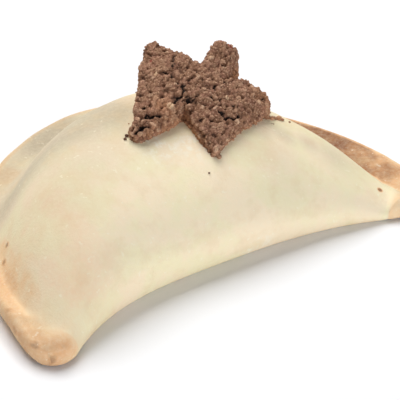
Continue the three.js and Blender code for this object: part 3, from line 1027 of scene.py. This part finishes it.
def filling_paint():
    """Baked chocolate and almond crumb: every grain its own brown, with painted shade in the gaps
    and pits.
    """
    paint = Paint("chocolate almond crumb")
    pit = paint.attribute("pit")
    fine = paint.noise(0.3, 3.0, 0.75)
    bits = paint.noise(0.42, 2.0, 0.6, shift=9.0).between(0.55, 0.64)
    rosy = paint.noise(1.8, 2.0, 0.5, shift=21.0).between(0.45, 0.6)
    crumb = paint.layers(
        paint.ramp(paint.attribute("grain"), GRAIN_BROWNS),
        (fine.between(0.42, 0.58) * 0.6, DARK_CRUMB),
        (bits * 0.65, PALE_BIT),
        (rosy * 0.3, ROSY_CRUMB),
        (paint.attribute("warm") * 0.4, ORANGE_CRUMB),
        # painted shade in the gaps and pits; on the loose crumbs, their own darker colour
        (pit.between(0.08, 0.4) * 0.5, GAP_SHADE_AND_DARK_CRUMB),
        (pit.between(0.35, 0.85), PIT_SHADE_AND_DARKEST_CRUMB),
        (paint.attribute("fruit") * 0.7, FRUIT_RED),
        (paint.attribute("nut") * 0.8, NUT_CREAM),
    )
    normal = paint.bump(fine, 0.1)
    return paint.finish(crumb, 0.8, normal, **{"Specular IOR Level": 0.25})


def floor_paint():
    paint = Paint("white floor")
    surface = paint.node("ShaderNodeBsdfDiffuse", {}, {"Color": FLOOR_WHITE})
    paint.node("ShaderNodeOutputMaterial", {}, {"Surface": surface})
    return paint.material


# ---------------------------------------------------------------- dressing the pieces


def toasted(points, along, place, uneven, far_left, rind):
    """How far the oven browned each point, from 0 for pale to 1 for dark brown."""
    right = soft_step(along, *RIGHT_HALF)
    wander = rough(points, FLAP_WANDER_SIZE, 3)
    flap = soft_step(place + FLAP_WANDER[0] * wander, *FLAP_BEGINS)
    flap *= 1 - FLAP_END_PALER * soft_step(place + FLAP_WANDER[1] * wander, *FLAP_ENDS)
    browned = FLAP_TOAST + FLAP_DARKER * soft_step(along, *FLAP_DARKENS)
    browned -= FLAP_PALER * soft_step(along, *FLAP_PALES)
    browned += FLAP_UNEVEN * rough(points, FLAP_UNEVEN_SIZE, 3, 4.0)
    toast = np.maximum(right * flap * browned, mix(*RIND_TOAST, far_left) * rind)
    low, more = LEFT_HORN_TOAST
    horn = soft_step(-along, *LEFT_HORN) * (low + more * soft_step(uneven, *LEFT_HORN_BACK))
    toast = np.maximum(toast, LEFT_HORN_MOST * horn)
    toast = mix(toast, LEFT_TIP_TOAST, soft_step(-along, *LEFT_TIP))
    toast = mix(toast, RIGHT_TIP_TOAST, soft_step(along, *RIGHT_TIP))
    for *spot, reach, amount in SPOTS:
        away = np.linalg.norm(points - spot, axis=1) / reach
        toast = np.maximum(toast, amount * np.exp(-away**4))
    return toast


def shade_by_paint(points, place, far_left, rind):
    """How much painted shade greys the dough at each point, on the upper left and right of the
    lump.
    """
    x, y = points[:, 0], points[:, 1]
    west = (1 - soft_step(x, *SHADE_WEST)) * (1 - SHADE_LESS_FAR_LEFT * far_left)
    behind = SHADE_BEHIND[0] * soft_step(place, *SHADE_BEHIND[1])
    behind += SHADE_FARTHER[0] * soft_step(y, *SHADE_FARTHER[1])
    behind += SHADE_RIM[0] * soft_step(place, *SHADE_RIM[1]) * soft_step(y, *SHADE_RIM[2])
    corner = soft_step(-x, *CORNER_LEFT) * soft_step(y, *CORNER_BEHIND)
    dull = west * behind * (1 - SHADE_LESS_ON_RIND * rind) * (1 - SHADE_LESS_IN_CORNER * corner)
    # painted shade on the dough right of the lump
    for shade_x, shade_y, reach, amount in SHADES:
        dull = np.maximum(dull, amount * patch(points, shade_x, shade_y, reach))
    return dull


def bake_marks(crust):
    """Where the oven coloured the crust, where painted shade greys it, and where flour lies, in
    front of the lump partly as painted light.
    """
    mesh = crust.data
    points = coordinates(mesh)
    along = kept(mesh, "along")
    place = kept(mesh, "place")
    outside = place < INSIDE_FROM
    far_left = soft_step(-along, *FAR_LEFT)
    uneven = place + RIND_UNEVEN * rough(points, RIND_UNEVEN_SIZE, 3) * far_left
    rind_from = mix(*RIND_FROM, far_left)
    rind = soft_step(uneven, rind_from, rind_from + mix(*RIND_SPREAD, far_left))
    rind *= 1 - soft_step(along, *RIGHT_HALF)
    toast = toasted(points, along, place, uneven, far_left, rind)
    keep(mesh, "toast", np.clip(np.where(outside, toast, INSIDE_TOAST), 0, 1))
    blush = sum(amount * patch(points, x, y, reach) for x, y, reach, amount in BLUSHES)
    keep(mesh, "blush", blush * outside)
    # painted shade on the upper left and beside the lump
    keep(mesh, "dull", shade_by_paint(points, place, far_left, rind) * outside)
    # flour, with painted light in front of the lump
    flour = np.zeros(len(points))
    for *spot, reach in FLOUR_AND_LIGHT:
        away = np.linalg.norm(points - spot, axis=1) / reach
        flour = np.maximum(flour, np.exp(-away * away))
    keep(mesh, "flour", flour)


def crumb_marks(filling):
    """Warmer crumb low on the lump and here and there, and bits of fruit and nut."""
    mesh = filling.data
    points = coordinates(mesh)
    sunk = face_height(points[:, 0], points[:, 1]) - points[:, 2]
    warm = soft_step(sunk, *WARM_BELOW)
    from_star = points - (*STAR_CENTRE, 0)
    for x, y, reach, strength in WARM_SPOTS:
        warm = np.maximum(warm, strength * patch(from_star, x, y, reach))
    keep(mesh, "warm", warm)
    for label, places in (("fruit", FRUIT_SPOTS), ("nut", NUT_SPOTS)):
        share = sum(patch(from_star, x, y, reach) for x, y, reach in places)
        keep(mesh, label, soft_step(share, *BIT_EDGE))


def loose_crumbs(crust):
    """Crumbs that broke off the lump and lie on the crust round it."""
    draw = make_draw(STRAY_SEED)
    places = list(CRUMBS)
    outline = star_corners(STRAY_INSET)
    for _ in range(STRAYS):
        corner = int(draw() * len(outline))
        spot = mix(outline[corner], outline[(corner + 1) % len(outline)], draw())
        spot = spot + unit(spot - STAR_CENTRE) * STRAY_SPREAD * draw() ** 2
        places.append((*spot, mix(*STRAY_SIZE, draw()), draw()))
    bpy.context.view_layer.update()
    points, faces, draws, paleness = [], [], [], []
    for x, y, size, pale in places:
        hit, seat, way, _ = crust.ray_cast((x, y, DROP_FROM), (0.0, 0.0, -1.0))
        if not hit:
            continue
        shape = bpy.data.meshes.new("crumb")
        grown = bmesh.new()
        bmesh.ops.create_icosphere(grown, subdivisions=CRUMB_LEVEL, radius=size / 2)
        grown.to_mesh(shape)
        grown.free()
        own = coordinates(shape)
        own *= np.array((1.0, mix(*CRUMB_BREADTH, draw()), mix(*CRUMB_HEIGHT, draw())))
        own *= 1 + CRUMB_ROUGH * rough(own + 9.0 * len(points), size * 0.5, 2)[:, None]
        turn = Matrix.Rotation(draw() * math.tau, 3, "Z")
        own = own @ np.array(turn) + np.array(seat + way * size * CRUMB_LIFT)
        faces += [tuple(len(points) + v for v in face.vertices) for face in shape.polygons]
        draws += [draw()] * len(own)
        paleness += [pale] * len(own)
        points += own.tolist()
        bpy.data.meshes.remove(shape)
    paleness = np.array(paleness)
    marks = (("grain", draws), ("pit", CRUMB_DARK * (1 - paleness) ** 2), ("warm", paleness))
    return new_object("loose_crumbs", np.array(points), faces, marks)


def set_down(piece, shift):
    """Brings a piece from the plan, in millimetres, to the frame, in metres."""
    points = (coordinates(piece.data) + shift) * MM
    move_points(piece.data, points)
    return piece


dough = make_dough()
bake_marks(dough)
filling = make_filling()
crumb_marks(filling)
crumbs = loose_crumbs(dough)

# The plan's middle goes over the middle of the frame's dough.
plan = coordinates(dough.data)
low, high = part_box("dough")
middle = (np.array(low) + np.array(high)) / 2 / MM
shift = np.array((*(middle[:2] - (plan.min(axis=0) + plan.max(axis=0))[:2] / 2), 0.0))

crumb_finish = filling_paint()
for piece, paint, node in (
    (dough, dough_paint(), "dough"),
    (filling, crumb_finish, "filling"),
    (crumbs, crumb_finish, "filling"),
):
    set_down(piece, shift)
    piece.data.materials.clear()
    piece.data.materials.append(paint)
    smooth(piece)
    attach(piece, "root")
    if piece is not crumbs:
        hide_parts(node)

# ---------------------------------------------------------------- camera, light and floor


def toward(azimuth, elevation):
    """Direction from the object towards a place round it."""
    flat = math.cos(elevation)
    return Vector((math.sin(azimuth) * flat, -math.cos(azimuth) * flat, math.sin(elevation)))


def aim(thing, target):
    thing.rotation_euler = (thing.location - target).to_track_quat("Z", "Y").to_euler()


lens = bpy.data.cameras.new("camera")
lens.sensor_width = SENSOR
lens.lens = VIEW_FOCUS / PICTURE * SENSOR
lens.shift_x = 0.5 - VIEW_MIDDLE[0] / PICTURE
lens.shift_y = VIEW_MIDDLE[1] / PICTURE - 0.5
lens.clip_start = VIEW_NEAREST
camera = bpy.data.objects.new("camera", lens)
bpy.context.collection.objects.link(camera)
target = Vector((AIM + shift) * MM)
camera.location = target + toward(VIEW_AZIMUTH, VIEW_ELEVATION) * VIEW_DISTANCE * MM
aim(camera, target)
bpy.context.scene.camera = camera
bpy.context.scene.view_settings.view_transform = "Standard"


def area_light(name, azimuth, elevation, distance, size, power, tint):
    lamp = bpy.data.lights.new(name, "AREA")
    lamp.color = tint
    lamp.size = size
    lamp.energy = power
    thing = bpy.data.objects.new(name, lamp)
    bpy.context.collection.objects.link(thing)
    thing.location = toward(math.radians(azimuth), math.radians(elevation)) * distance
    aim(thing, Vector((0, 0, 0)))


for light in LIGHTS:
    area_light(*light)

world = bpy.data.worlds.new("studio")
world.use_nodes = True
glow = world.node_tree.nodes["Background"].inputs
glow["Color"].default_value = (*WHITE, 1.0)
glow["Strength"].default_value = STUDIO_GLOW
bpy.context.scene.world = world

corners = [
    (x * FLOOR_HALF, y * FLOOR_HALF, -FLOOR_DROP)
    for x, y in ((-1, -1), (1, -1), (1, 1), (-1, 1))
]
floor_mesh = bpy.data.meshes.new("floor")
floor_mesh.from_pydata(corners, [], [(0, 1, 2, 3)])
floor = bpy.data.objects.new("floor", floor_mesh)
bpy.context.collection.objects.link(floor)
floor_mesh.materials.append(floor_paint())
